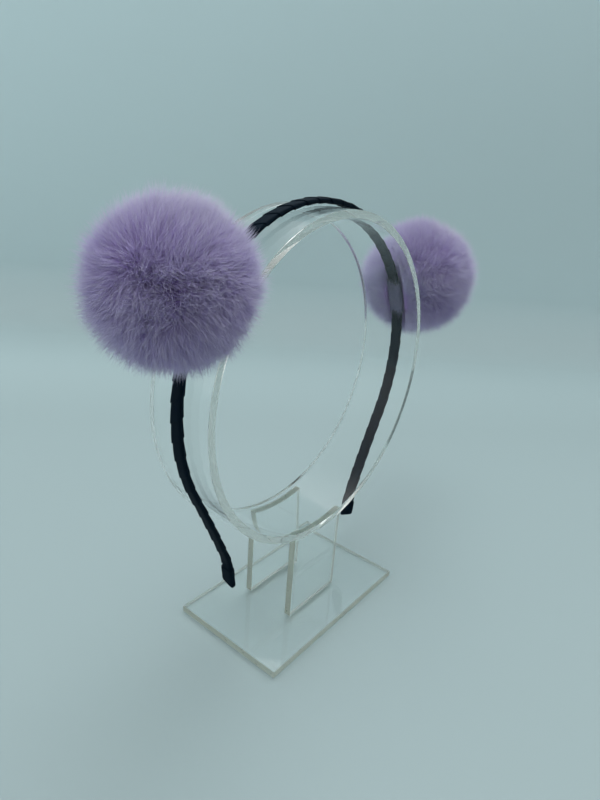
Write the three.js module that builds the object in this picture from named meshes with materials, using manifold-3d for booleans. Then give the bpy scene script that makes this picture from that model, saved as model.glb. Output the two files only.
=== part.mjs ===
// A headband with two fur pompoms, sitting on a clear acrylic display stand.
// Millimetres, +Z up. The origin is the middle of the stand's underside, X runs across the headband
// from ear to ear, and Y is the axis of the hoop that the headband sits on.
import * as THREE from "three";
import { mergeVertices } from "three/addons/utils/BufferGeometryUtils.js";
import Module from "manifold-3d";

// Clearance kept between pieces that touch on the real object
const gap = 0.3;
// How far a cutting body runs past the ends of what it cuts
const overrun = 1;

// Acrylic stand
const sheet = 3; // thickness of all its plates and of the hoop
const baseWidth = 85;
const baseDepth = 53;
const hoopRadius = 65; // outside
const hoopWidth = 28.4;
const hoopHeight = 106.6; // hoop's centre above the table
const hoopSides = 80;
const hoopBack = 1.6; // hoop's middle behind the base's middle
const uprightWidth = 31;
const uprightOffset = 11.5; // middle of each upright from the hoop's middle
const cradleSides = 12; // straight cuts along an upright's hollowed top

// Headband strip with its ribbon
const bandWidth = 5.2;
const bandThickness = 2.3;
const bandHug = 117.4; // degrees from the top where the band leaves the hoop
const hugShift = 1.1; // degrees that the +X leg leaves it later, and the other sooner
const legLength = 37.7; // each leg below that, as far as its bent foot
const legTurn = 3.5; // degrees that a leg straightens on the way down
const bandShift = 2.4; // the band is pushed round the hoop towards +X, so that leg is longer
const footLength = 6; // stretch over which a leg bends back towards upright
const footTurn = 16; // degrees
const tipLength = 8.8; // straight end with the ribbon folded over it, along its longer edge
const tipSlant = 2.4; // how much shorter it is along the other edge
const ribbonTurns = 52;
const ribbonThickness = 0.28; // height of the lap at the edge of each turn
const bandSides = 10; // points round the band's section
const sectionPower = 0.5; // 1 gives an ellipse, smaller values a squarer section
const bandForward = 1.4; // level with the hoop's centre, the band lies this far in front of its middle
const bandTilt = 0.9; // degrees that the band leans back
const foldThickness = 0.22; // ribbon folded over the band's tips
const foldGap = 0.15; // it is pulled tighter than other pieces sit

// Loops of fabric that hold the pompoms on the band
const loopLength = 12.6;
const loopThickness = 0.4;
const loopSpread = 46; // past a loop's middle, the band takes this length to settle on the hoop
const crownSpread = 120; // and this length towards the crown, where it is still a little off the hoop
const loopStep = 4.2; // longest straight stretch of a loop

// Fur
const furRadius = 27.4; // tips of the locks from a pompom's centre
const headRadius = 17; // the solid middle that the locks grow from
const headDetail = 1; // times that the head's twenty faces are split
const lockSides = 6;
const lockCount = 80;
const lockSpread = 0.16; // how far a lock leans off the radius
const lockShorter = 0.07; // the shortest lock is this share shorter than the longest

// One row for each pompom: its angle from the top of the hoop, towards +X, how far its centre
// stands off the hoop, and its centre across the hoop
const pompoms = [
  { side: "left", angle: -56.6, standOff: 16.2, across: -1.9, seed: 3 },
  { side: "right", angle: 67.9, standOff: 19.6, across: -1.7, seed: 41 },
];

// Ribbon folded over a tip: share of the tip's length from its mouth, and shares of the full fold and
// of the full slant there
const foldOutline = [
  { reach: 0, fold: 0.8, slant: 0 },
  { reach: 0.2, fold: 1, slant: 0 },
  { reach: 0.9, fold: 1, slant: 1 },
  { reach: 1, fold: 0.6, slant: 1 },
];

// A lock's outline: share of its length from the pompom's centre, and half width in millimetres
const lockOutline = [
  { reach: 0.3, half: 0 },
  { reach: 0.85, half: 4.5 },
  { reach: 1, half: 0 },
];

const materials = {
  acrylic: new THREE.MeshStandardMaterial({
    color: 0xc9d6d4,
    roughness: 0.05,
    transparent: true,
    opacity: 0.3,
  }),
  satin: new THREE.MeshStandardMaterial({ color: 0x10151f, roughness: 0.45 }),
  fur: new THREE.MeshStandardMaterial({ color: 0xa597cf, roughness: 1 }),
  loop: new THREE.MeshStandardMaterial({ color: 0x8f86b8, roughness: 0.9 }),
};

const wasm = await Module();
wasm.setup();
const object = new THREE.Group();

function addPiece(name, geometry, material) {
  const piece = new THREE.Mesh(geometry, material);
  piece.name = name;
  object.add(piece);
  return piece;
}

// Joining and cutting

// One point for all that share a place, without the faces that this closes up
function weld(geometry) {
  const merged = mergeVertices(geometry, 1e-4);
  const index = merged.index.array;
  const kept = [];
  for (let i = 0; i < index.length; i += 3) {
    const [a, b, c] = index.slice(i, i + 3);
    if (a !== b && b !== c && c !== a) kept.push(a, b, c);
  }
  merged.setIndex(kept);
  return merged;
}

function toSolid(geometry) {
  const bare = geometry.clone();
  bare.deleteAttribute("normal");
  bare.deleteAttribute("uv");
  const welded = weld(bare);
  const mesh = new wasm.Mesh({
    numProp: 3,
    vertProperties: welded.attributes.position.array,
    triVerts: Uint32Array.from(welded.index.array),
  });
  return new wasm.Manifold(mesh);
}

function toGeometry(solid) {
  const { vertProperties, triVerts } = solid.getMesh();
  const geometry = new THREE.BufferGeometry();
  geometry.setAttribute("position", new THREE.BufferAttribute(vertProperties, 3));
  geometry.setIndex(new THREE.BufferAttribute(triVerts, 1));
  const welded = weld(geometry);
  welded.computeVertexNormals();
  return welded;
}

// The headband's path

const bandRadius = hoopRadius + gap + bandThickness / 2;
const hugTurn = (side) => THREE.MathUtils.degToRad(bandHug + side * hugShift);
// From the top round the hoop and down one leg, `side` being 1 towards +X and -1 the other way
const bandRun = (side) => [
  { length: bandRadius * hugTurn(side), turn: hugTurn(side) },
  { length: legLength + side * bandShift, turn: -THREE.MathUtils.degToRad(legTurn) },
  { length: footLength, turn: -THREE.MathUtils.degToRad(footTurn) },
  { length: tipLength, turn: 0 },
];
const bandReach = (side) => bandRun(side).reduce((total, stretch) => total + stretch.length, 0);

// Where the middle of a pompom's loop lies along the band, from the top
const loopPlace = (pompom) => bandRadius * THREE.MathUtils.degToRad(pompom.angle);

// The loops' inner layers hold the band off the hoop, and it settles to both sides of them
function bandLift(along) {
  const [left, right] = pompoms.map(loopPlace);
  const beyond = Math.max(left - along, along - right);
  const share = beyond > 0 ? beyond / loopSpread : -beyond / crownSpread;
  return (loopThickness + gap) * Math.cos((Math.min(share, 1) * Math.PI) / 2) ** 2;
}

// A point beside the band: `along` is measured from the top, `out` away from the hoop
function besideBand(along, across, out) {
  const side = Math.sign(along) || 1;
  let left = Math.abs(along);
  let x = 0;
  let z = bandRadius;
  let heading = 0;
  for (const stretch of bandRun(side)) {
    const run = Math.min(left, stretch.length);
    const rate = stretch.turn / stretch.length;
    const next = heading + rate * run;
    if (rate === 0) {
      x += run * Math.cos(heading);
      z -= run * Math.sin(heading);
    } else {
      x += (Math.sin(next) - Math.sin(heading)) / rate;
      z += (Math.cos(next) - Math.cos(heading)) / rate;
    }
    heading = next;
    left -= run;
    if (left <= 0) break;
  }
  const off = out + bandLift(along);
  x += off * Math.sin(heading);
  z += off * Math.cos(heading);
  const y = hoopBack - bandForward + z * Math.tan(THREE.MathUtils.degToRad(bandTilt));
  return new THREE.Vector3(side * x, y + across, hoopHeight + z);
}

// A point of a rounded rectangular section round the band, `turn` in radians from the +Y edge. The
// section is cut slantwise where its two edges lie `slant` apart along the band
function onSection(along, turn, halfWidth, halfThickness, slant = 0) {
  const rounded = (value) => Math.sign(value) * Math.abs(value) ** sectionPower;
  const across = rounded(Math.cos(turn));
  const out = rounded(Math.sin(turn));
  return besideBand(along + (slant / 2) * across, halfWidth * across, halfThickness * out);
}

// A closed mesh from points and faces of three or four corners
function facets(points, faces) {
  const geometry = new THREE.BufferGeometry();
  geometry.setFromPoints(points);
  geometry.setIndex(faces.flatMap(([a, b, c, d]) => (d === undefined ? [a, b, c] : [a, b, c, a, c, d])));
  geometry.computeVertexNormals();
  return geometry;
}

// A solid along the band through rows of { along, halfWidth, halfThickness, slant }, closed by a fan at
// each end
function bandSleeve(rows) {
  const points = [];
  for (const row of rows) {
    for (let i = 0; i < bandSides; i++) {
      const turn = (2 * Math.PI * i) / bandSides;
      points.push(onSection(row.along, turn, row.halfWidth, row.halfThickness, row.slant));
    }
  }
  const start = points.push(besideBand(rows[0].along, 0, 0)) - 1;
  const end = points.push(besideBand(rows.at(-1).along, 0, 0)) - 1;
  const lastRow = (rows.length - 1) * bandSides;
  const faces = [];
  for (let i = 0; i < bandSides; i++) {
    const next = (i + 1) % bandSides;
    for (let row = 0; row < lastRow; row += bandSides) {
      faces.push([row + i, row + next, row + bandSides + next, row + bandSides + i]);
    }
    faces.push([start, next, i]);
    faces.push([end, lastRow + i, lastRow + next]);
  }
  return facets(points, faces);
}

// Ribbon wound round the strip: one helical strip of faces from the lapping edge of each turn (full
// size) down to where the next turn covers it, and a low wall up to that turn's edge
function woundRibbon() {
  const spare = gap + foldThickness + tipSlant; // from the end of each tip's longer edge
  const first = spare - bandReach(-1);
  const last = bandReach(1) - spare;
  const pitch = (last - first) / (ribbonTurns + 1);
  const steps = ribbonTurns * bandSides;
  const points = [];
  const at = (step, laps, trim) => {
    const along = first + pitch * (step / bandSides + laps);
    const turn = (2 * Math.PI * step) / bandSides;
    return onSection(along, turn, bandWidth / 2 - trim, bandThickness / 2 - trim);
  };
  for (let step = 0; step <= steps; step++) {
    points.push(at(step, 0, 0), at(step, 1, ribbonThickness));
  }
  const edge = (step) => 2 * step;
  const under = (step) => 2 * step + 1;
  const start = points.push(besideBand(first + pitch / 2, 0, 0)) - 1;
  const end = points.push(besideBand(last - pitch / 2, 0, 0)) - 1;
  const faces = [];
  for (let step = 0; step < steps; step++) {
    faces.push([edge(step), edge(step + 1), under(step + 1), under(step)]);
    if (step < steps - bandSides) {
      const lap = step + bandSides;
      faces.push([under(step), under(step + 1), edge(lap + 1), edge(lap)]);
    } else {
      faces.push([end, under(step), under(step + 1)]);
    }
    if (step < bandSides) faces.push([start, edge(step + 1), edge(step)]);
  }
  faces.push([start, under(0), edge(bandSides)], [start, edge(0), under(0)]);
  faces.push([end, edge(steps), under(steps - bandSides)], [end, under(steps), edge(steps)]);
  return facets(points, faces);
}

// Ribbon folded over a tip of the band: a cap whose socket holds the band's end
function foldedTip(side) {
  const wall = foldGap + foldThickness;
  const halfWidth = bandWidth / 2;
  const halfThickness = bandThickness / 2;
  const end = bandReach(side);
  const mouth = end - tipLength;
  const outside = foldOutline.map((row) => ({
    along: mouth + row.reach * tipLength - (row.slant * tipSlant) / 2,
    grow: row.fold * wall,
    slant: row.slant * tipSlant,
  }));
  const socket = [
    { along: mouth - overrun, grow: foldGap, slant: 0 },
    { along: end - foldThickness - tipSlant / 2, grow: foldGap, slant: tipSlant },
  ];
  const sleeve = (rows) => {
    const ordered = side < 0 ? rows.toReversed() : rows;
    return toSolid(
      bandSleeve(
        ordered.map(({ along, grow, slant }) => ({
          along: side * along,
          halfWidth: halfWidth + grow,
          halfThickness: halfThickness + grow,
          slant,
        })),
      ),
    );
  };
  return toGeometry(sleeve(outside).subtract(sleeve(socket)));
}

// Rows of a sleeve that follows the band over a loop's length
function loopRows(pompom, length, grow) {
  const steps = Math.ceil(length / loopStep);
  return Array.from({ length: steps + 1 }, (_, i) => ({
    along: loopPlace(pompom) + length * (i / steps - 0.5),
    halfWidth: bandWidth / 2 + grow,
    halfThickness: bandThickness / 2 + grow,
  }));
}

function fabricLoop(pompom) {
  const outside = toSolid(bandSleeve(loopRows(pompom, loopLength, gap + loopThickness)));
  const inside = toSolid(bandSleeve(loopRows(pompom, loopLength + 2 * overrun, gap)));
  return toGeometry(outside.subtract(inside));
}

// Fur

// A repeatable number from 0 to 1 for a whole number
function scatter(n) {
  const value = Math.sin(n * 12.9898) * 43758.5453;
  return value - Math.floor(value);
}

function pompomCentre(pompom) {
  const angle = THREE.MathUtils.degToRad(pompom.angle);
  const reach = hoopRadius + pompom.standOff;
  const height = hoopHeight + reach * Math.cos(angle);
  return new THREE.Vector3(reach * Math.sin(angle), hoopBack + pompom.across, height);
}

// Locks point evenly all round on a spiral, each leaning a little its own way
function lockDirection(i, seed) {
  const rise = 1 - (2 * (i + 0.5)) / lockCount;
  const turn = i * Math.PI * (3 - Math.sqrt(5)) + seed;
  const flat = Math.sqrt(1 - rise * rise);
  const lean = new THREE.Vector3(...[0, 1, 2].map((axis) => scatter(3 * i + axis + seed)));
  const direction = new THREE.Vector3(flat * Math.cos(turn), flat * Math.sin(turn), rise);
  return direction.addScaledVector(lean.subScalar(0.5), lockSpread).normalize();
}

function furLock(direction, length) {
  const outline = lockOutline.map((row) => new THREE.Vector2(row.half, row.reach * length));
  const lock = new THREE.LatheGeometry(outline, lockSides);
  const up = new THREE.Vector3(0, 1, 0);
  return lock.applyQuaternion(new THREE.Quaternion().setFromUnitVectors(up, direction));
}

// The head with its locks, hollowed underneath for the hoop, the band and the loop. Past the hoop's
// rims the locks hang over
function furBall(pompom) {
  const centre = pompomCentre(pompom);
  const clear = hoopRadius + 2 * gap;
  let ball = toSolid(new THREE.IcosahedronGeometry(headRadius, headDetail).translate(...centre));
  for (let i = 0; i < lockCount; i++) {
    const length = furRadius * (1 - lockShorter * scatter(7 * i + pompom.seed));
    const direction = lockDirection(i, pompom.seed);
    ball = ball.add(toSolid(furLock(direction, length).translate(...centre)));
  }
  const hoopRoom = new THREE.CylinderGeometry(clear, clear, hoopWidth + 4 * gap, hoopSides);
  const loopRoom = bandSleeve(loopRows(pompom, 2 * furRadius, 2 * gap + loopThickness));
  ball = ball.subtract(toSolid(hoopRoom.translate(0, hoopBack, hoopHeight)));
  ball = ball.subtract(toSolid(loopRoom));
  const bodies = ball.decompose().sort((a, b) => b.volume() - a.volume());
  return toGeometry(bodies[0]); // without the lock tips that the cuts leave loose
}

// Acrylic stand

function upright() {
  const half = uprightWidth / 2;
  const cradle = hoopRadius + gap;
  const corner = Math.asin(half / cradle);
  const foot = sheet + gap;
  const outline = new THREE.Shape();
  outline.moveTo(-half, foot);
  outline.lineTo(half, foot);
  outline.lineTo(half, hoopHeight - cradle * Math.cos(corner));
  outline.absarc(0, hoopHeight, cradle, -Math.PI / 2 + corner, -Math.PI / 2 - corner, true);
  outline.closePath();
  const plate = new THREE.ExtrudeGeometry(outline, {
    depth: sheet,
    bevelEnabled: false,
    curveSegments: cradleSides,
  });
  return plate.translate(0, 0, -sheet / 2).rotateX(Math.PI / 2);
}

function hoop() {
  const inside = hoopRadius - sheet;
  const rim = hoopWidth / 2;
  const section = [
    new THREE.Vector2(inside, -rim),
    new THREE.Vector2(hoopRadius, -rim),
    new THREE.Vector2(hoopRadius, rim),
    new THREE.Vector2(inside, rim),
    new THREE.Vector2(inside, -rim),
  ];
  return new THREE.LatheGeometry(section, hoopSides);
}

addPiece("stand_base", new THREE.BoxGeometry(baseWidth, baseDepth, sheet), materials.acrylic)
  .position.set(0, 0, sheet / 2);
addPiece("stand_upright_front", upright(), materials.acrylic).position.y = hoopBack - uprightOffset;
addPiece("stand_upright_back", upright(), materials.acrylic).position.y = hoopBack + uprightOffset;
addPiece("stand_hoop", hoop(), materials.acrylic).position.set(0, hoopBack, hoopHeight);
addPiece("ribbon_band", woundRibbon(), materials.satin);
addPiece("band_tip_left", foldedTip(-1), materials.satin);
addPiece("band_tip_right", foldedTip(1), materials.satin);
for (const pompom of pompoms) {
  addPiece("pompom_loop_" + pompom.side, fabricLoop(pompom), materials.loop);
  addPiece("pompom_" + pompom.side, furBall(pompom), materials.fur);
}

export default object;
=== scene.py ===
import math

import bpy
import numpy as np
from mathutils import Matrix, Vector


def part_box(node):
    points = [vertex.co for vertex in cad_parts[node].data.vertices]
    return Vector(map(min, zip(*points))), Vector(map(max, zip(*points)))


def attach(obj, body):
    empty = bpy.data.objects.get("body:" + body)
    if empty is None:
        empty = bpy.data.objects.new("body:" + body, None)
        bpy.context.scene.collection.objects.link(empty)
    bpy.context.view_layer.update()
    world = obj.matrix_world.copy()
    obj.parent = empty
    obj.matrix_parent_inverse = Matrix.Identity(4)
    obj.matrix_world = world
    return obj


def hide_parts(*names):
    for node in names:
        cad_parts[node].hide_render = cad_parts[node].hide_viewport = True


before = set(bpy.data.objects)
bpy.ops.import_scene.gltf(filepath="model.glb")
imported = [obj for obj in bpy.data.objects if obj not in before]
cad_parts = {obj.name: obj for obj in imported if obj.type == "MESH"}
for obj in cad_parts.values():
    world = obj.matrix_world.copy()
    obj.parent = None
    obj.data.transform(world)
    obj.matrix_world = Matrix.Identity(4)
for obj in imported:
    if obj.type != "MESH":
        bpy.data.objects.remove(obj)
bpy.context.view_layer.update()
mm = 0.001  # sizes below are in millimetres


def boxMm(node):
    return [np.array(corner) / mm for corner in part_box(node)]


def unit(vectors):
    return vectors / np.linalg.norm(vectors, axis=-1, keepdims=True)


# Quads between neighbours of a grid whose points are numbered row by row
def gridFaces(rows, columns, wrapRows=False, wrapColumns=False):
    row = np.arange(rows if wrapRows else rows - 1)[:, None]
    column = np.arange(columns if wrapColumns else columns - 1)[None, :]
    nextRow = (row + 1) % rows
    nextColumn = (column + 1) % columns
    corners = [
        row * columns + column,
        row * columns + nextColumn,
        nextRow * columns + nextColumn,
        nextRow * columns + column,
    ]
    return np.stack(np.broadcast_arrays(*corners), -1).reshape(-1, 4)


# Outline of a rounded rectangle: a quarter circle round each corner, one after another
def roundedRectangle(halfLong, halfWide, corner, steps):
    arc = np.linspace(0, math.pi / 2, steps)
    quarter = corner * np.column_stack([np.cos(arc), np.sin(arc)])
    turns = [np.array([[c, -s], [s, c]]) for c, s in ((1, 0), (0, 1), (-1, 0), (0, -1))]
    middles = np.array([[1, 1], [-1, 1], [-1, -1], [1, -1]]) * [halfLong - corner, halfWide - corner]
    return np.concatenate([middle + quarter @ turn.T for middle, turn in zip(middles, turns)])


# One object from arrays: points in millimetres, faces as index arrays of equal corner counts,
# layers as {name: value of each point}. Edges sharper than an angle stay sharp, or all with None
def addPiece(name, points, faces, material, node, layers=None, sharp=40):
    mesh = bpy.data.meshes.new(name)
    corners = np.concatenate([part.ravel() for part in faces]).astype(np.int32)
    sizes = np.concatenate([np.full(len(part), part.shape[1]) for part in faces])
    mesh.vertices.add(len(points))
    mesh.vertices.foreach_set("co", (points * mm).astype(np.float32).ravel())
    mesh.loops.add(len(corners))
    mesh.loops.foreach_set("vertex_index", corners)
    mesh.polygons.add(len(sizes))
    mesh.polygons.foreach_set("loop_start", (np.cumsum(sizes) - sizes).astype(np.int32))
    for layer, values in (layers or {}).items():
        mesh.attributes.new(layer, "FLOAT", "POINT").data.foreach_set("value", values.astype(np.float32))
    mesh.update(calc_edges=True)
    mesh.validate()
    if sharp is None:
        mesh.shade_flat()
    else:
        mesh.shade_smooth()
        mesh.set_sharp_from_angle(angle=math.radians(sharp))
    mesh.materials.append(material)
    piece = bpy.data.objects.new(name, mesh)
    bpy.context.scene.collection.objects.link(piece)
    if node is None:
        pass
    else:
        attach(piece, "root")
        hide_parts(node)
    print("made", name, len(points), "points", int((sizes - 2).sum()), "triangles")
    return piece


# A colour for a socket, times a share
def tinted(colour, share=1.0):
    return [share * part for part in colour] + [1]


# A shader socket. Sums of these and of numbers add Math nodes to their tree
class Wire:
    def __init__(self, tree, socket=None):
        self.tree = tree
        self.socket = socket

    # Any node: its type, its settings, and values or wires for its sockets
    def node(self, kind, settings=None, sockets=None, output=0):
        made = self.tree.nodes.new(kind)
        for key, value in (settings or {}).items():
            setattr(made, key, value)
        for key, value in (sockets or {}).items():
            if isinstance(value, Wire):
                self.tree.links.new(value.socket, made.inputs[key])
            else:
                made.inputs[key].default_value = value
        return Wire(self.tree, made.outputs[output] if made.outputs else None)

    def math(self, operation, first, second):
        return self.node("ShaderNodeMath", {"operation": operation}, {0: first, 1: second})

    def __add__(self, other):
        return self.math("ADD", self, other)

    def __radd__(self, other):
        return self.math("ADD", other, self)

    def __sub__(self, other):
        return self.math("SUBTRACT", self, other)

    def __rsub__(self, other):
        return self.math("SUBTRACT", other, self)

    def __mul__(self, other):
        return self.math("MULTIPLY", self, other)

    def __rmul__(self, other):
        return self.math("MULTIPLY", other, self)

    def __pow__(self, other):
        return self.math("POWER", self, other)

    def __rpow__(self, other):
        return self.math("POWER", other, self)

    def attribute(self, name):
        return self.node("ShaderNodeAttribute", {"attribute_name": name}, output="Fac")

    def objectPlace(self):
        return self.node("ShaderNodeTexCoord", output="Object")

    def noise(self, place, scale, detail=2.0):
        sockets = {"Vector": place, "Scale": scale, "Detail": detail}
        return self.node("ShaderNodeTexNoise", {}, sockets, output="Fac")

    def mixed(self, share, first, second):
        colours = {0: share, 6: first, 7: second}
        return self.node("ShaderNodeMix", {"data_type": "RGBA"}, colours, output=2)

    def dot(self, place, way):
        settings = {"operation": "DOT_PRODUCT"}
        return self.node("ShaderNodeVectorMath", settings, {0: place, 1: way}, output="Value")

    # Rises smoothly from 0 to 1 between two values
    def ease(self, value, low, high):
        sockets = {"Value": value, "From Min": low, "From Max": high}
        return self.node("ShaderNodeMapRange", {"interpolation_type": "SMOOTHSTEP"}, sockets)

    def bump(self, height, strength, distance):
        sockets = {"Height": height, "Strength": strength, "Distance": distance * mm}
        return self.node("ShaderNodeBump", {}, sockets)


# A material with one Principled shader, whose sockets take numbers, colours or wires. "Through" is a share
# of translucence, of one even colour
def newMaterial(name, build, throughColour=None):
    material = bpy.data.materials.new(name)
    material.use_nodes = True
    tree = material.node_tree
    tree.nodes.clear()
    start = Wire(tree)
    sockets = build(start)
    through = sockets.pop("Through", None)
    surface = start.node("ShaderNodeBsdfPrincipled", {}, sockets)
    if through is not None:  # light that comes through thin pieces from behind
        behind = start.node("ShaderNodeBsdfTranslucent", {}, {"Color": tinted(throughColour)})
        surface = start.node("ShaderNodeMixShader", {}, {0: through, 1: surface, 2: behind})
    start.node("ShaderNodeOutputMaterial", {}, {"Surface": surface})
    return material


# Camera

camera = dict(
    place=(-176.65, -133.66, 187.88),
    turn=-52.13,  # degrees round +Z, from looking along +Y
    down=22.40,
    roll=4.26,
    lens=26.78,  # for a 36 mm frame on the picture's long side
)


# The camera's axes: turned round +Z, tilted down, then rolled about the line of sight
def addCamera():
    turn, down, roll = (math.radians(camera[key]) for key in ("turn", "down", "roll"))
    back = np.array([math.sin(turn) * math.cos(down), -math.cos(turn) * math.cos(down), math.sin(down)])
    level = np.array([math.cos(turn), math.sin(turn), 0])
    upright = np.cross(back, level)
    right = math.cos(roll) * level + math.sin(roll) * upright
    up = math.cos(roll) * upright - math.sin(roll) * level
    data = bpy.data.cameras.new("camera")
    data.lens = camera["lens"]
    data.sensor_width = 36
    data.clip_start = 0.005
    eye = bpy.data.objects.new("camera", data)
    place = np.array(camera["place"]) * mm
    eye.matrix_world = Matrix(np.vstack([np.column_stack([right, up, back, place]), [0, 0, 0, 1]]))
    bpy.context.scene.collection.objects.link(eye)
    bpy.context.scene.camera = eye
    print("camera at", camera["place"])


addCamera()


# Floor, backdrop and light

stage = dict(
    drop=0.2,  # the floor lies this far under the base
    behind=362,  # where it starts to curve up, from the origin along the view
    bend=60,
    wall=480,
    front=900,
    half=1500,
    colour=(0.314, 0.386, 0.397),
    glow=0.06,  # light of its own, as of a backdrop lit from elsewhere
    clouds=3.0,  # size of its faint unevenness, as a noise scale
)
# Painted light and shade on the floor and wall, as tones against that colour, each with the two places
# between which it takes over: a little darker at the front, lighter towards the back where the wall shades
# the floor, and much lighter up the wall, more to the top and left
paintedLight = dict(
    front=0.96,
    floor=(1.1, -150, 330),
    far=(1.32, 170, 330),
    wall=(1.82, -5, 68),  # in height from here
    top=(2.45, 60, 500),
    turn=0.092,  # how far the change at the back runs off square to the view
    slope=0.25,  # and how much lighter the wall is painted to the left
)


# Level directions ahead of the camera and across its view
def stageWays():
    turn = math.radians(camera["turn"])
    ahead = np.array([-math.sin(turn), math.cos(turn), 0])
    across = np.array([math.cos(turn), math.sin(turn), 0])
    return ahead, across


# Pale floor with painted light and shade: each tone takes over from the last as the place goes on, over the
# floor and up the wall. It also glows faintly in its own colour
def floorFinish(start):
    place = start.objectPlace()
    ahead, across = stageWays()
    reach = start.dot(place, ahead - paintedLight["turn"] * across)
    height = start.dot(place, (0, 0, 1))
    lighter = start.dot(place, np.array([0, 0, 1]) - paintedLight["slope"] * across)
    # Painted light and shade, tone by tone along the floor and up the wall
    paintedTone = paintedLight["front"]
    for key, along in (("floor", reach), ("far", reach), ("wall", height), ("top", lighter)):
        level, near, far = paintedLight[key]
        paintedTone = paintedTone + start.ease(along, near * mm, far * mm) * (level - paintedTone)
    cloud = start.noise(place, stage["clouds"])
    paintedTone = paintedTone * (0.99 + 0.02 * cloud)
    scaled = {0: stage["colour"], "Scale": paintedTone}
    colour = start.node("ShaderNodeVectorMath", {"operation": "SCALE"}, scaled)
    return {
        "Base Color": colour,
        "Roughness": 0.55 + 0.1 * cloud,
        "Specular IOR Level": 0.25,
        "Emission Color": colour,
        "Emission Strength": stage["glow"],
    }


# Sweep: a profile of floor, quarter circle and wall, carried straight across the view
def addSweep():
    ahead, across = stageWays()
    arc = np.linspace(0, math.pi / 2, 33)
    reach = np.concatenate([[-stage["front"]], stage["behind"] + stage["bend"] * np.sin(arc)])
    rise = np.concatenate([[0], stage["bend"] * (1 - np.cos(arc))])
    reach = np.append(reach, reach[-1])
    rise = np.append(rise, stage["wall"])
    sides = np.linspace(-stage["half"], stage["half"], 9)
    points = (
        reach[:, None, None] * ahead
        + sides[None, :, None] * across
        + (rise - stage["drop"])[:, None, None] * np.array([0, 0, 1])
    )
    faces = gridFaces(len(reach), len(sides))[:, ::-1]
    paleFloor = newMaterial("pale_floor", floorFinish)
    addPiece("floor_sweep", points.reshape(-1, 3), [faces], paleFloor, None)


room = dict(
    low=(0.22, 0.24, 0.245),  # light from below and from all sides
    level=(0.31, 0.33, 0.335),
)
lamps = [
    dict(way=(0.2, 0.1, 0.97), focus=30.0, colour=(4.8, 5.1, 5.1)),
    dict(way=(-0.25, -0.05, 0.96), focus=30.0, colour=(4.6, 4.9, 4.9)),
    dict(way=(0.69, 0.17, 0.7), focus=10.0, colour=(2.3, 2.45, 2.45)),
    dict(way=(-0.5, 0.85, 0.15), focus=6.0, colour=(1.0, 1.1, 1.1)),
]


# Light from all round, with lamps that fade as a power of the cosine from their middles
def addLight():
    world = bpy.data.worlds.new("soft_room")
    world.use_nodes = True
    tree = world.node_tree
    tree.nodes.clear()
    start = Wire(tree)
    place = start.node("ShaderNodeTexCoord", output="Generated")
    above = start.ease(start.dot(place, (0, 0, 1)), -0.05, 0.05)
    light = start.mixed(above, tinted(room["low"]), tinted(room["level"]))
    for lamp in lamps:
        way = unit(np.array(lamp["way"]))
        near = start.math("MAXIMUM", start.dot(place, way), 0.0) ** lamp["focus"]
        settings = {"data_type": "RGBA", "blend_type": "ADD"}
        colours = {0: near, 6: light, 7: tinted(lamp["colour"])}
        light = start.node("ShaderNodeMix", settings, colours, output=2)
    shine = start.node("ShaderNodeBackground", {}, {"Color": light, "Strength": 1.0})
    start.node("ShaderNodeOutputWorld", {}, {"Surface": shine})
    scene = bpy.context.scene
    scene.world = world
    scene.view_settings.view_transform = "Standard"
    scene.cycles.max_bounces = 40  # light runs a long way inside the clear sheets
    scene.cycles.diffuse_bounces = 16  # and from hair to hair
    scene.cycles.glossy_bounces = 32
    scene.cycles.transmission_bounces = 32
    scene.cycles.blur_glossy = 0
    print("light from", len(lamps), "lamps")


addSweep()
addLight()


# Acrylic stand

acrylic = dict(
    bevel=0.25,
    around=288,  # steps round the hoop
    cradle=48,  # steps along an upright's hollowed top
    wall=3.0,
    face=(0.99, 1.0, 0.995),
    edge=(0.64, 0.65, 0.59),
    rim=0.32,  # the hoop's rims are smoother and clearer than the plates' edges
    sharp=12,  # faces that turn by more degrees than this meet in a sharp edge
    ior=1.33,
    smears=60.0,  # noise scales
    sawMarks=900.0,
)


# Clear acrylic: polished faces with faint smears, and duller sawn edges that let light through
def acrylicFinish(start):
    edge = start.attribute("sawnEdge")
    place = start.objectPlace()
    smear = start.noise(place, acrylic["smears"], 4.0)
    colour = start.mixed(edge, tinted(acrylic["face"]), tinted(acrylic["edge"]))
    sawMarks = start.noise(place, acrylic["sawMarks"])
    return {
        "Base Color": colour,
        "Roughness": 0.002 + 0.004 * smear * (1 - edge) + edge * (0.24 + 0.1 * sawMarks),
        "Normal": start.bump(smear, 0.006, 0.2),
        "IOR": acrylic["ior"],
        "Transmission Weight": 1.0,
        "Through": 0.5 * edge,
    }


clearAcrylic = newMaterial("clear_acrylic", acrylicFinish, acrylic["edge"])


# Inset of a closed outline: each corner moves in by the same distance from both of its edges
def inset(outline, distance):
    ahead = np.roll(outline, -1, 0) - outline
    ahead /= np.linalg.norm(ahead, axis=1, keepdims=True)
    normal = np.column_stack([-ahead[:, 1], ahead[:, 0]])  # inwards, on an outline that runs anticlockwise
    before = np.roll(normal, 1, 0)
    mitre = (normal + before) / (1 + (normal * before).sum(1, keepdims=True))
    return outline + distance * mitre


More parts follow.
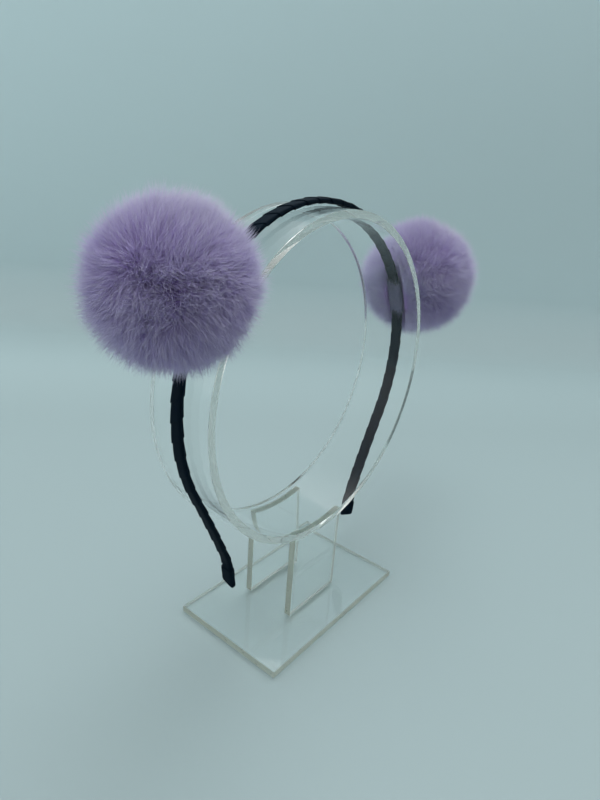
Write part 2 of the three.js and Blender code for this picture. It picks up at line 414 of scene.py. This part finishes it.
# Plate: an outline carried through its thickness, inset by a quarter-circle bevel at both faces
def addPlate(name, outline, low, high, lift, node):
    bevel = acrylic["bevel"]
    arc = np.linspace(0, math.pi / 2, 4)
    insets = bevel * (1 - np.sin(arc))
    depths = bevel * (1 - np.cos(arc))
    rows = [(low + depth, cut) for depth, cut in zip(depths, insets)]
    rows += [(high - depth, cut) for depth, cut in zip(depths[::-1], insets[::-1])]
    points = np.concatenate([lift(inset(outline, cut), level) for level, cut in rows])
    count = len(outline)
    sides = gridFaces(len(rows), count, wrapColumns=True)
    bottom = np.arange(count)[::-1][None]
    top = (len(rows) - 1) * count + np.arange(count)[None]
    layers = {"sawnEdge": np.repeat([0.0] + [1.0] * (len(rows) - 2) + [0.0], count)}
    faces = [sides, bottom, top]
    addPiece(name, points, faces, clearAcrylic, node, layers, acrylic["sharp"])


# An outline in the level plane at a height, and one in an upright plane at a depth
def layFlat(outline, level):
    return np.column_stack([outline, np.full(len(outline), level)])


def standUp(outline, level):
    return np.column_stack([outline[:, 0], np.full(len(outline), -level), outline[:, 1]])


hoopLow, hoopHigh = boxMm("stand_hoop")
hoopCentre = (hoopLow + hoopHigh) / 2
hoopRadius = (hoopHigh[0] - hoopLow[0]) / 2
hoopHalf = (hoopHigh[1] - hoopLow[1]) / 2


# Stand: a rectangle for the base, and uprights whose tops follow a circle about the hoop's axis
def addStand():
    low, high = boxMm("stand_base")
    base = np.array([[low[0], low[1]], [high[0], low[1]], [high[0], high[1]], [low[0], high[1]]])
    addPlate("acrylic_base", base, low[2], high[2], layFlat, "stand_base")
    for place in ("front", "back"):
        node = "stand_upright_" + place
        low, high = boxMm(node)
        half = high[0]
        rest = math.hypot(half, hoopCentre[2] - high[2])  # from the hoop's axis to the hollowed top
        swing = math.asin(half / rest)
        turn = np.linspace(swing, -swing, acrylic["cradle"] + 1)
        hollow = np.column_stack([rest * np.sin(turn), hoopCentre[2] - rest * np.cos(turn)])
        outline = np.concatenate([[[-half, low[2]], [half, low[2]]], hollow])
        addPlate("acrylic_upright_" + place, outline, -high[1], -low[1], standUp, node)


# Hoop: a rounded rectangle of its wall and width, carried round the hoop's axis
def addHoop():
    wall, corner, sharp = acrylic["wall"], acrylic["bevel"], acrylic["sharp"]
    profile = roundedRectangle(wall / 2, hoopHalf, corner, 4)
    angle = np.linspace(0, 2 * math.pi, acrylic["around"], endpoint=False)[:, None]
    radius = hoopRadius - wall / 2 + profile[None, :, 0]
    across = np.broadcast_to(profile[None, :, 1], (len(angle), len(profile)))
    points = np.stack([radius * np.sin(angle), across, radius * np.cos(angle)], -1) + hoopCentre
    faces = gridFaces(len(angle), len(profile), True, True)[:, ::-1]
    rim = np.abs(profile[:, 1]) > hoopHalf - 0.99 * corner
    edge = np.broadcast_to(acrylic["rim"] * rim, (len(angle), len(profile)))
    layers = {"sawnEdge": edge.ravel()}
    flat = points.reshape(-1, 3)
    addPiece("acrylic_hoop", flat, [faces], clearAcrylic, "stand_hoop", layers, sharp)


addStand()
addHoop()


# Headband

band = dict(
    gap=0.3,
    width=5.2,
    thickness=2.3,
    hug=117.4,  # degrees from the top where it leaves the hoop
    hugShift=1.1,  # later on the +X side, sooner on the other
    leg=37.7,
    legTurn=3.5,
    shift=2.4,
    foot=6,
    footTurn=16,
    tip=8.8,
    slant=2.4,  # a tip is this much shorter along one edge
    forward=1.4,
    tilt=0.9,
    turns=52,
    ribbon=0.28,  # thickness of the lap
    fold=0.22,  # how far the folded tips stand out from the band
    squareness=0.5,
    loop=0.4,  # thickness of the pompoms' loops, which lift the band
    loopLength=12.6,
    settle=46,
    crownSettle=120,
    perTurn=44,  # steps of the ribbon for each turn
    pucker=0.035,  # small waves across it
    around=64,  # steps round a folded tip
    crease=0.06,
)
# Angles are in degrees from the top, and the fur on top is brushed this way and this far
pompoms = [
    dict(side="left", angle=-56.6, standOff=16.2, across=-1.9, seed=5, brushed=(0.45, 0.36, 0)),
    dict(side="right", angle=67.9, standOff=19.6, across=-1.7, seed=11, brushed=(0.25, 0.2, 0)),
]
bandRadius = hoopRadius + band["gap"] + band["thickness"] / 2


# Angle from the top at which a leg leaves the hoop
def hugTurn(side):
    return np.radians(band["hug"] + side * band["hugShift"])


# Length along the band from the top to a leg's end, and to a pompom's loop
def bandEnd(side):
    return bandRadius * hugTurn(side) + band["leg"] + side * band["shift"] + band["foot"] + band["tip"]


def loopPlace(pompom):
    return bandRadius * math.radians(pompom["angle"])


# Full lift at the loops, and a squared cosine down from them, quicker down the legs than over the crown
def bandLift(along):
    left, right = (loopPlace(pompom) for pompom in pompoms)
    beyond = np.maximum(left - along, along - right)
    share = np.minimum(np.where(beyond > 0, beyond / band["settle"], -beyond / band["crownSettle"]), 1)
    return (band["loop"] + band["gap"]) * np.cos(share * math.pi / 2) ** 2


# A point beside the band: stretches of even bend are followed one after another from the top,
# then `out` is added square to the path and `across` along the hoop's axis
def besideBand(along, across, out):
    along, across, out = np.broadcast_arrays(along, across, out)
    side = np.where(along < 0, -1.0, 1.0)
    left = np.abs(along)
    x = np.zeros_like(left)
    z = np.full_like(left, bandRadius)
    heading = np.zeros_like(left)
    stretches = [
        (bandRadius * hugTurn(side), hugTurn(side)),
        (band["leg"] + side * band["shift"], -math.radians(band["legTurn"])),
        (band["foot"], -math.radians(band["footTurn"])),
        (band["tip"], 1e-5),
    ]
    for length, turn in stretches:
        run = np.clip(left, 0, length)
        rate = turn / length
        following = heading + rate * run
        x = x + (np.sin(following) - np.sin(heading)) / rate
        z = z + (np.cos(following) - np.cos(heading)) / rate
        heading = following
        left = left - run
    off = out + bandLift(along)
    x = x + off * np.sin(heading)
    z = z + off * np.cos(heading)
    y = z * math.tan(math.radians(band["tilt"])) - band["forward"] + across
    return np.stack([side * x, y, z], -1) + hoopCentre


# Angle round the band's section for a share of its perimeter. The section is a superellipse
def sectionAngle(share):
    angle = np.linspace(0, 2 * math.pi, 2001)
    outline = np.column_stack(sectionPoint(angle, band["width"] / 2, band["thickness"] / 2))
    length = np.concatenate([[0], np.cumsum(np.linalg.norm(np.diff(outline, axis=0), axis=1))])
    return np.interp(share % 1, length / length[-1], angle)


# A power of the value's size, with its sign kept
def rounded(value):
    return np.sign(value) * np.abs(value) ** band["squareness"]


# Superellipse: such powers of the angle's cosine and sine, times the half sizes
def sectionPoint(angle, halfWidth, halfThickness):
    return halfWidth * rounded(np.cos(angle)), halfThickness * rounded(np.sin(angle))


satin = dict(
    colour=(0.0022, 0.006, 0.012),
    # the lighter colour is painted sheen of the satin, mixed in along streaks and random clouds
    paintedSheen=(0.0055, 0.0135, 0.024),
    threads=20.0,  # threads across the ribbon's width shown as ribs
    streaks=6.0,  # noise scales
    clouds=160.0,
)


# Black satin: painted sheen in streaks along the ribbon, lighter clouds at random, and fine ribs of thread
def satinFinish(start):
    place = start.objectPlace()
    across = start.attribute("ribbonAcross")
    along = start.attribute("ribbonAlong")
    position = start.node("ShaderNodeCombineXYZ", {}, {"X": across * 9.0, "Y": along * 0.35})
    streak = start.noise(position, satin["streaks"], 3.0)
    ribs = across * (2 * math.pi * satin["threads"])
    thread = start.node("ShaderNodeMath", {"operation": "SINE"}, {0: ribs})
    cloud = start.noise(place, satin["clouds"])
    # painted sheen: streaks, with random clouds, lighten the colour
    share = 0.65 * streak + 0.35 * cloud
    colour = start.mixed(share, tinted(satin["colour"]), tinted(satin["paintedSheen"]))
    return {
        "Base Color": colour,
        "Roughness": 0.46 + 0.2 * streak,
        "Normal": start.bump(0.3 * thread + streak, 0.25, 0.05),
        "Specular IOR Level": 0.03,
    }


blackSatin = newMaterial("black_satin", satinFinish)


# Wound ribbon: the winding runs once round the section for each turn, so a point is given by the
# winding's run and its share across the ribbon. Height falls from the lap to where the next turn covers it
def addBand():
    spare = band["gap"] + band["fold"] + band["slant"]
    first = spare - bandEnd(-1)
    last = bandEnd(1) - spare
    pitch = (last - first) / (band["turns"] + 1)
    perTurn = band["perTurn"]
    steps = band["turns"] * perTurn
    run = (np.arange(steps + 1) / perTurn)[:, None]
    share = np.array([0, 0.015, 0.05, 0.12, 0.25, 0.4, 0.55, 0.7, 0.85, 1.0])[None, :]
    drop = band["ribbon"] * np.where(share == 0, 0.2, share)
    wave = band["pucker"] * np.sin(run * 9.1 + 2 * np.sin(run * 1.7)) * np.sin(share * math.pi)
    angle = sectionAngle(run)
    across, out = sectionPoint(angle, band["width"] / 2 - drop + wave, band["thickness"] / 2 - drop + wave)
    points = besideBand(first + pitch * (run + share), across, out)
    columns = share.shape[1]
    count = (steps + 1) * columns
    grid = np.arange(count).reshape(steps + 1, columns)
    surface = gridFaces(steps + 1, columns)[:, ::-1]
    under, edge = grid[: steps - perTurn + 1, -1], grid[perTurn:, 0]
    risers = np.column_stack([under[:-1], edge[:-1], edge[1:], under[1:]])[:, ::-1]
    startRing = np.concatenate([grid[0, ::-1], grid[1:perTurn + 1, 0]])
    endRing = np.concatenate([grid[-1], grid[steps - perTurn:-1, -1][::-1]])
    middles = besideBand(np.array([first + pitch / 2, last - pitch / 2]), 0.0, 0.0)
    startFan = np.column_stack([np.full(len(startRing), count), startRing, np.roll(startRing, -1)])
    endFan = np.column_stack([np.full(len(endRing), count + 1), endRing, np.roll(endRing, -1)])
    layers = {
        "ribbonAcross": np.append(np.broadcast_to(share, (steps + 1, columns)), [0, 0]),
        "ribbonAlong": np.append(np.broadcast_to(run, (steps + 1, columns)) * 11.0, [0, 0]),
    }
    points = np.concatenate([points.reshape(-1, 3), middles])
    faces = [surface, risers, startFan, endFan]
    addPiece("wound_band", points, faces, blackSatin, "ribbon_band", layers)


# Points beside the band: a place along it, a share round its section and a distance off that section.
# With a slant, the section's two edges lie that far apart along the band
def sleevePoints(along, share, grow, slant=0.0):
    angle = sectionAngle(share)
    across, out = sectionPoint(angle, band["width"] / 2 + grow, band["thickness"] / 2 + grow)
    return besideBand(along + slant / 2 * rounded(np.cos(angle)), across, out)


# Rows of a folded tip: share of its length, how far the fold stands out there, and share of its slant
tipRows = dict(
    reach=(0.45, 0, 0, 0.01, 0.03, 0.1, 0.2, 0.35, 0.5, 0.65, 0.8, 0.9, 0.955, 0.985, 1, 1),
    grow=(0.4, 0.4, 0.6, 0.8, 0.9, 1, 0.95, 1, 0.96, 1, 1.03, 1, 0.7, 0.2, -0.6, -3),
    slant=(0, 0, 0, 0, 0, 0, 0, 0.2, 0.4, 0.6, 0.8, 0.95, 1, 1, 1, 1),
)


# Folded tip: a sleeve whose rows start inside the fold, come out at its mouth and close at the end
def addTips():
    around = band["around"]
    share = (np.arange(around) / around)[None, :]
    reach, grow, slant = (np.array(tipRows[key])[:, None] for key in ("reach", "grow", "slant"))
    slant = slant * band["slant"]
    fade = np.sin(math.pi * reach) ** 2 * (grow > 0.5)
    crease = band["crease"] * np.sin(2 * math.pi * (2 * share + 0.9 * reach)) * fade
    for side, name in ((-1, "left"), (1, "right")):
        along = side * (bandEnd(side) - band["tip"] * (1 - reach) - slant / 2)
        points = sleevePoints(along, share, band["fold"] * grow + crease, slant)
        faces = gridFaces(len(reach), around, wrapColumns=True)
        caps = [np.arange(around)[None, ::-1], (len(reach) - 1) * around + np.arange(around)[None]]
        if side < 0:
            faces, caps = faces[:, ::-1], [cap[:, ::-1] for cap in caps]
        layers = {
            "ribbonAcross": (2 * share + 0 * reach).ravel(),
            "ribbonAlong": (0 * share + 5 * reach).ravel(),
        }
        flat = points.reshape(-1, 3)
        node = "band_tip_" + name
        addPiece("folded_tip_" + name, flat, [faces, *caps], blackSatin, node, layers)


addBand()
addTips()


# Pompoms

fur = dict(
    reach=29.7,
    head=19.5,
    clear=0.4,  # from the hoop and the band
    hang=1.5,  # how steeply it falls past the hoop's rims
    shoulder=(0.6, 1.6),  # it lies clear of the band this far beside it, then comes down over this width
    aside=0.35,  # sideways push for each step that it is pressed out
    sink=0.97,  # hairs start this share of the head's radius from its centre
    root=0.07,  # spread of a tuft's hairs where they grow, in radians
    tip=0.055,
    swirl=0.12,  # lean of neighbouring tufts together, and of each one by itself
    stray=0.11,
    brushed=(0.3, 0.55),  # fur lies over from this height of a tuft's direction, fully after this much more
    shorter=0.23,
    thick=0.105,  # a hair's half width at its root
    through=0.6,
    throughColour=(0.78, 0.735, 0.875),
    rootColour=(0.59, 0.35, 0.78),
    midColour=(0.63, 0.49, 0.83),
    tipColour=(0.95, 0.94, 0.99),
    lumps=0.02,  # unevenness of the head
)
# Coats of each pompom. Shade is how much darker its hairs are painted: the inner, shorter coat most, as
# painted shade deep in the fur
coats = [
    dict(tufts=2900, hairs=11, reach=0.88, thick=0.9, shade=0.6),
    dict(tufts=2900, hairs=12, reach=1.0, thick=1.0, shade=0.35),
    dict(tufts=2900, hairs=12, reach=1.0, thick=1.0, shade=0.25),
]


# Lilac fur: deep at the root, then a middle colour, then a pale tip, each hair darker by its painted shade
# and random tone
def furFinish(start):
    share = start.attribute("hairShare")
    kind = start.attribute("hairShadeAndTone")
    low = start.mixed(kind, tinted(fur["rootColour"]), tinted(fur["rootColour"], 0.8))
    middle = start.mixed(kind, tinted(fur["midColour"]), tinted(fur["midColour"], 0.75))
    high = start.mixed(kind, tinted(fur["tipColour"]), tinted(fur["tipColour"], 0.82))
    colour = start.mixed(start.ease(share, 0.0, 0.55), low, middle)
    colour = start.mixed(start.ease(share, 0.37, 0.85), colour, high)
    return {
        "Base Color": colour,
        "Roughness": 0.55 + 0.15 * kind,
        "Specular IOR Level": 0.08,
        "Through": fur["through"],
    }


lilacFur = newMaterial("lilac_fur", furFinish, fur["throughColour"])


# Centre of a pompom: out from the hoop's axis at its angle
def pompomCentre(pompom):
    angle = math.radians(pompom["angle"])
    reach = hoopRadius + pompom["standOff"]
    return hoopCentre + np.array([reach * math.sin(angle), pompom["across"], reach * math.cos(angle)])


# Points too near the hoop, the band or its loop are pressed away from the hoop's axis, and spread sideways
# from the pompom's own axis as they are pressed. Past the rims the fur hangs over
def pressClear(points, centre, clear):
    middle = points - hoopCentre
    radius = np.hypot(middle[:, 0], middle[:, 2])
    past = np.maximum(np.abs(middle[:, 1]) - hoopHalf, 0)
    least = hoopRadius + clear - fur["hang"] * past
    stack = 3 * band["gap"] + band["thickness"] + 2 * band["loop"]
    offBand = np.abs(middle[:, 1] + band["forward"]) - band["width"] / 2
    beside, fall = fur["shoulder"]
    onBand = np.clip(1 - (offBand - beside) / fall, 0, 1)
    least = np.maximum(least, hoopRadius + clear + onBand * onBand * (3 - 2 * onBand) * stack)
    depth = np.maximum(least - radius, 0)
    normal = np.column_stack([middle[:, 0], np.zeros(len(points)), middle[:, 2]]) / radius[:, None]
    outward = centre - hoopCentre
    outward = outward * [1, 0, 1] / np.hypot(outward[0], outward[2])
    away = points - centre
    away = away - (away @ outward)[:, None] * outward
    away /= np.maximum(np.linalg.norm(away, axis=1, keepdims=True), 1e-6)
    return points + depth[:, None] * (normal + fur["aside"] * away)


# Even directions on a sphere: equal steps in height, and the golden angle round from one to the next
def evenDirections(count, twist):
    height = 1 - (2 * np.arange(count) + 1) / count
    turn = np.arange(count) * math.pi * (3 - math.sqrt(5)) + twist
    flat = np.sqrt(1 - height * height)
    return np.column_stack([flat * np.cos(turn), flat * np.sin(turn), height])


# A smooth wandering vector for each direction: sines of a few random slanted lines across the ball
def wander(directions, random, waves, pace):
    lines = random.normal(size=(waves, 3)) * pace
    phase = random.uniform(0, 2 * math.pi, waves)
    push = random.normal(size=(waves, 3)) / math.sqrt(waves)
    return np.sin(directions @ lines.T + phase) @ push


# Hairs: each is a slim spike with a three-cornered foot round its root
def hairMesh(root, tip, thick):
    along = unit(tip - root)
    helper = np.where(np.abs(along[:, 2:]) < 0.9, [[0, 0, 1.0]], [[1.0, 0, 0]])
    first = unit(np.cross(along, helper))
    second = np.cross(along, first)
    angle = np.arange(3) * 2 * math.pi / 3
    foot = np.cos(angle)[None, :, None] * first[:, None] + np.sin(angle)[None, :, None] * second[:, None]
    foot = root[:, None] + thick[:, None, None] * foot
    points = np.concatenate([foot, tip[:, None]], 1)
    corners = np.array([[0, 2, 1], [0, 1, 3], [1, 2, 3], [2, 0, 3]])
    faces = 4 * np.arange(len(root))[:, None, None] + corners
    share = np.tile([0, 0, 0, 1], len(root))
    return points.reshape(-1, 3), faces.reshape(-1, 3), share


# One coat of a pompom: tufts point evenly all round and lean a little, those on top over one way, and
# hairs start spread about their tuft's middle and come together towards its tip
def addFur(pompom, layer):
    coat = coats[layer]
    random = np.random.default_rng(pompom["seed"] + 100 * layer)
    centre = pompomCentre(pompom)
    tuft = evenDirections(coat["tufts"], pompom["seed"] + layer)
    tuft = unit(tuft + random.normal(size=tuft.shape) * 0.02)
    lean = wander(tuft, random, 12, 3.0) * fur["swirl"] + random.normal(size=tuft.shape) * fur["stray"]
    start, over = fur["brushed"]
    top = np.clip((tuft[:, 2:] - start) / over, 0, 1)
    lean = lean + top * top * (3 - 2 * top) * np.array(pompom["brushed"])
    length = 1 + 0.02 * wander(tuft, random, 10, 4.0)[:, 0] - 0.04 * random.random(len(tuft))
    tuft, lean, length = (np.repeat(each, coat["hairs"], 0) for each in (tuft, lean, length))
    spread = random.normal(size=tuft.shape)
    rootWay = unit(tuft + fur["root"] * spread)
    tipWay = unit(tuft + fur["tip"] * spread * random.uniform(0.3, 1.6, (len(tuft), 1)) + lean)
    cut = 1 - fur["shorter"] * random.random(len(length)) ** 0.8
    length = coat["reach"] * fur["reach"] * length * cut
    root = centre + fur["sink"] * fur["head"] * rootWay
    tip = centre + length[:, None] * tipWay
    root, tip = (pressClear(each, centre, fur["clear"]) for each in (root, tip))
    for part in (0.25, 0.5, 0.75):  # places between must be clear too
        between = root + part * (tip - root)
        push = pressClear(between, centre, fur["clear"]) - between
        root, tip = root + push, tip + push
    thick = coat["thick"] * fur["thick"] * random.uniform(0.6, 1.2, len(length))
    points, faces, share = hairMesh(root, tip, thick)
    # Painted shade of the hair's coat, with random tone about it
    kind = np.repeat(np.clip(coat["shade"] + random.normal(size=len(length)) * 0.25, 0, 1), 4)
    name = "pompom_%s_fur_%d" % (pompom["side"], layer + 1)
    layers = {"hairShare": share, "hairShadeAndTone": kind}
    addPiece(name, points, [faces], lilacFur, "pompom_" + pompom["side"], layers, None)


# Head: a ball on a grid of turn and height, roughened by wandering sines and pressed clear like the fur
def addHead(pompom):
    random = np.random.default_rng(pompom["seed"])
    rows, columns = 48, 96
    height = np.linspace(0, math.pi, rows + 2)[1:-1, None]
    turn = np.linspace(0, 2 * math.pi, columns, endpoint=False)[None, :]
    around = np.sin(height)
    ways = np.stack([around * np.cos(turn), around * np.sin(turn), np.cos(height) + 0 * turn], -1)
    ways = np.concatenate([ways.reshape(-1, 3), [[0, 0, 1.0], [0, 0, -1.0]]])
    centre = pompomCentre(pompom)
    radius = fur["head"] * (1 + fur["lumps"] * wander(ways, random, 16, 9.0)[:, :1])
    points = pressClear(centre + radius * ways, centre, 2 * fur["clear"])
    ring = np.arange(columns)
    after = (ring + 1) % columns
    top = np.column_stack([np.full(columns, rows * columns), ring, after])
    last = (rows - 1) * columns
    bottom = np.column_stack([np.full(columns, rows * columns + 1), last + after, last + ring])
    faces = [gridFaces(rows, columns, wrapColumns=True)[:, ::-1], top, bottom]
    layers = {"hairShare": np.zeros(len(points)), "hairShadeAndTone": np.full(len(points), 0.5)}
    name = "pompom_%s_head" % pompom["side"]
    addPiece(name, points, faces, lilacFur, "pompom_" + pompom["side"], layers)


loopCloth = dict(
    around=64,
    off=0.12,
    thick=0.3,
    corner=0.14,
    ragged=0.6,
    nap=6000,  # short hairs lying on it
    napLength=2.2,
    napThick=0.07,
    napSink=0.1,  # its roots are this deep in the cloth
    napRise=0.2,  # and its tips at most this far off it
    knit=1500.0,  # pattern scales
    clouds=700.0,
    dark=(0.11, 0.10, 0.18),
    light=(0.22, 0.205, 0.33),
)


# Loop cloth: small knitted cells, with darker and lighter clouds
def loopFinish(start):
    place = start.objectPlace()
    cells = {"Vector": place, "Scale": loopCloth["knit"]}
    knit = start.node("ShaderNodeTexVoronoi", {}, cells, output="Distance")
    cloud = start.noise(place, loopCloth["clouds"])
    return {
        "Base Color": start.mixed(cloud, tinted(loopCloth["dark"]), tinted(loopCloth["light"])),
        "Roughness": 0.85,
        "Normal": start.bump(knit, 0.5, 0.15),
        "Sheen Weight": 0.3,
    }


lilacLoop = newMaterial("lilac_loop", loopFinish)


# Loop: a rounded rectangle of the fabric's thickness and length, carried round the band's section
def addLoop(pompom):
    length, thick, corner = band["loopLength"], loopCloth["thick"], loopCloth["corner"]
    profile = roundedRectangle(length / 2, thick / 2, corner, 5)
    top = np.linspace(profile[4], profile[5], 16)[1:-1]  # more points along both faces
    low = np.linspace(profile[14], profile[15], 16)[1:-1]
    profile = np.concatenate([profile[:5], top, profile[5:15], low, profile[15:]])
    share = (np.arange(loopCloth["around"]) / loopCloth["around"])[None, :]
    wave = np.sin(2 * math.pi * (3 * share + pompom["seed"] / 7))
    ragged = loopCloth["ragged"] * wave * np.sin(2 * math.pi * share)
    along = loopPlace(pompom) + profile[:, :1] * (1 + 2 * ragged / length)
    points = sleevePoints(along, share, loopCloth["off"] + thick / 2 + profile[:, 1:])
    faces = gridFaces(len(profile), loopCloth["around"], True, True)[:, ::-1]
    node = "pompom_loop_" + pompom["side"]
    addPiece("fabric_loop_" + pompom["side"], points.reshape(-1, 3), [faces], lilacLoop, node)


# Nap of a loop: short hairs, each from one place on the fabric to another close by
def addNap(pompom):
    random = np.random.default_rng(pompom["seed"] + 900)
    count = loopCloth["nap"]
    end = random.choice([-0.5, 0.5], count) * np.sqrt(random.random(count))  # thicker towards the ends
    along = loopPlace(pompom) + band["loopLength"] * end
    share = random.random(count)
    onto = along + loopCloth["napLength"] * random.normal(size=count)
    turned = share + 0.03 * random.normal(size=count)
    face = loopCloth["off"] + loopCloth["thick"]
    root = sleevePoints(along, share, face - loopCloth["napSink"])
    tip = sleevePoints(onto, turned, face + loopCloth["napRise"] * random.random(count))
    points, faces, _ = hairMesh(root, tip, loopCloth["napThick"] * random.uniform(0.6, 1.2, count))
    node = "pompom_loop_" + pompom["side"]
    addPiece("fabric_nap_" + pompom["side"], points, [faces], lilacLoop, node, None, None)


for pompom in pompoms:
    addLoop(pompom)
    addNap(pompom)
    addHead(pompom)
    for layer in range(len(coats)):
        addFur(pompom, layer)
